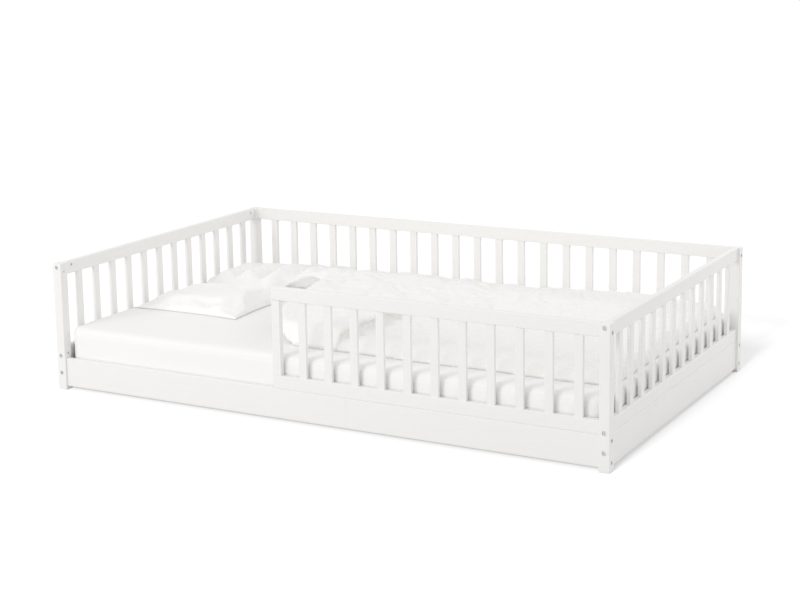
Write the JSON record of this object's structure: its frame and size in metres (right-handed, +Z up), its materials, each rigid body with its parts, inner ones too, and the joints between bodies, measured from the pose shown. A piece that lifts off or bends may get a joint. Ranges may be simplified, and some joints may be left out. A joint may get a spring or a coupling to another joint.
{
  "type": "toddler floor bed",
  "caption": "Low painted wooden floor bed with slatted fences on back and ends, a part-length front guard, slatted base, mattress, pillow and duvet.",
  "frame": {"origin": "on the floor under the middle of the bed", "axes": "+X along the length towards the end away from the pillow, +Y towards the back fence, +Z up; the guard and the entry are on the -Y side"},
  "size_m": [2.063, 1.263, 0.45],
  "materials": {
    "painted_wood": "white paint, satin",
    "bare_pine": "planed, untreated",
    "beech_dowel": "fluted dowel stock",
    "zinc_steel": "zinc plated",
    "polyester_webbing": "woven tape",
    "mattress_foam": "knitted cover over foam",
    "sheet_jersey": "white cotton jersey, stretched",
    "pillow_cotton": "white cotton",
    "duvet_cotton": "white cotton, crumpled"
  },
  "bodies": {
    "frame": {"back_board": "painted_wood", "back_bottom_rail": "painted_wood", "back_ledger": "bare_pine", "back_slats": "painted_wood", "back_top_rail": "painted_wood", "base_slats": "bare_pine", "beam_feet": "bare_pine", "beam_hangers": "zinc_steel", "board_dowels": "beech_dowel", "centre_beam": "bare_pine", "end_barrel_nuts": "zinc_steel", "end_bolts": "zinc_steel", "front_board_left": "painted_wood", "front_board_right": "painted_wood", "front_ledger": "bare_pine", "guard_bottom_rail": "painted_wood", "guard_slats": "painted_wood", "guard_stile": "painted_wood", "guard_stile_dowels": "beech_dowel", "guard_top_rail": "painted_wood", "hanger_screws": "zinc_steel", "ledger_screws": "zinc_steel", "left_end_board": "painted_wood", "left_end_bottom_rail": "painted_wood", "left_end_slats": "painted_wood", "left_end_top_rail": "painted_wood", "post_back_left": "painted_wood", "post_back_right": "painted_wood", "post_dowels": "beech_dowel", "post_front_left": "painted_wood", "post_front_right": "painted_wood", "right_end_board": "painted_wood", "right_end_bottom_rail": "painted_wood", "right_end_slats": "painted_wood", "right_end_top_rail": "painted_wood", "seam_dowels": "beech_dowel", "side_barrel_nuts": "zinc_steel", "side_bolts": "zinc_steel", "slat_webbing": "polyester_webbing"},
    "mattress": {"mattress": "mattress_foam", "fitted_sheet": "sheet_jersey"},
    "pillow": {"pillow": "pillow_cotton"},
    "duvet": {"duvet": "duvet_cotton"}
  },
  "joints": [
    {"name": "mattress_lift", "type": "slide", "parent": "frame", "child": "mattress", "axis": [0, 0, 1], "range_m": [0, 0.4]},
    {"name": "pillow_lift", "type": "slide", "parent": "mattress", "child": "pillow", "axis": [0, 0, 1], "range_m": [0, 0.25]},
    {"name": "duvet_lift", "type": "slide", "parent": "mattress", "child": "duvet", "axis": [0, 0, 1], "range_m": [0, 0.25]}
  ]
}
